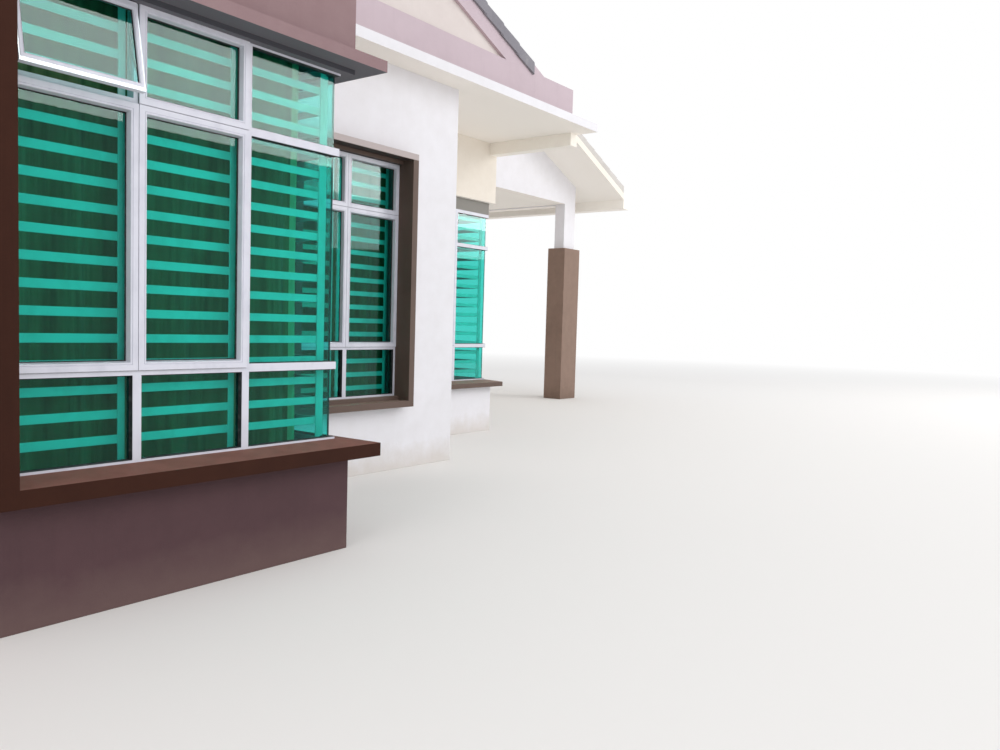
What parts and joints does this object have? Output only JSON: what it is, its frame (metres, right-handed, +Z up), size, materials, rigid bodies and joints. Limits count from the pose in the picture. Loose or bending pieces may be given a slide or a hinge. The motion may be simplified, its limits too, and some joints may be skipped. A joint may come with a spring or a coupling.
{
  "type": "bungalow",
  "caption": "Single-storey bungalow with stepped bays, corner windows with green glass, gables on concrete slabs and a gabled car porch.",
  "frame": {"origin": "on the ground under the middle of the whole outline", "axes": "+X along the stepped side towards the porch, +Y from the stepped side into the house, +Z up"},
  "size_m": [17.715, 12.115, 6.5807],
  "materials": {
    "white_paint": "matt white emulsion on fine cement render",
    "mauve_paint": "matt mauve-brown emulsion on cement render",
    "plinth_paint": "matt dark mauve-brown emulsion on cement render",
    "brown_paint": "satin dark red-brown emulsion on precast concrete",
    "cream_paint": "matt cream emulsion",
    "column_paint": "satin brown cladding",
    "bare_concrete": "floated grey concrete",
    "white_aluminium": "white powder-coated aluminium section",
    "green_glass": "6 mm green tinted float glass",
    "door_wood": "stained hardwood",
    "roof_tiles": "dark grey-brown concrete interlocking tiles"
  },
  "bodies": {
    "root": {"floor_slab": "bare_concrete", "gutter_kerbs": "bare_concrete", "bay_one_plinth": "plinth_paint", "bay_one_front_wall": "mauve_paint", "bay_one_side_wall": "mauve_paint", "bay_one_upper_wall": "mauve_paint", "bay_one_hood": "mauve_paint", "main_gable": "mauve_paint", "far_gable": "mauve_paint", "bay_one_gable": "mauve_paint", "parapets": "mauve_paint", "middle_wall": "white_paint", "middle_side_wall": "white_paint", "bay_three_plinth": "white_paint", "bay_three_front_wall": "white_paint", "bay_three_upper_wall": "cream_paint", "front_wall": "white_paint", "far_wall": "white_paint", "rear_wall": "white_paint", "main_slab": "white_paint", "bay_one_slab": "white_paint", "canopy_beam": "cream_paint", "porch_columns": "white_paint", "porch_gables": "white_paint", "porch_front_beam": "white_paint", "gable_panels": "cream_paint", "porch_ceiling": "cream_paint", "porch_roof_slab": "cream_paint", "porch_gutter": "cream_paint", "bay_one_sill": "brown_paint", "bay_one_jambs": "brown_paint", "bay_three_sill": "brown_paint", "middle_window_surround": "brown_paint", "other_window_surrounds": "brown_paint", "bay_one_window_frame": "white_aluminium", "open_sash": "white_aluminium", "bay_three_window_frame": "white_aluminium", "middle_window_frame": "white_aluminium", "other_window_frames": "white_aluminium", "bay_one_glass": "green_glass", "bay_three_glass": "green_glass", "plain_window_glass": "green_glass", "front_door": "door_wood", "rear_door": "door_wood", "door_frames": "door_wood", "main_roof": "roof_tiles", "bay_one_roof": "roof_tiles", "porch_roof": "roof_tiles", "ridge_caps": "roof_tiles", "column_claddings": "column_paint"}
  },
  "joints": []
}
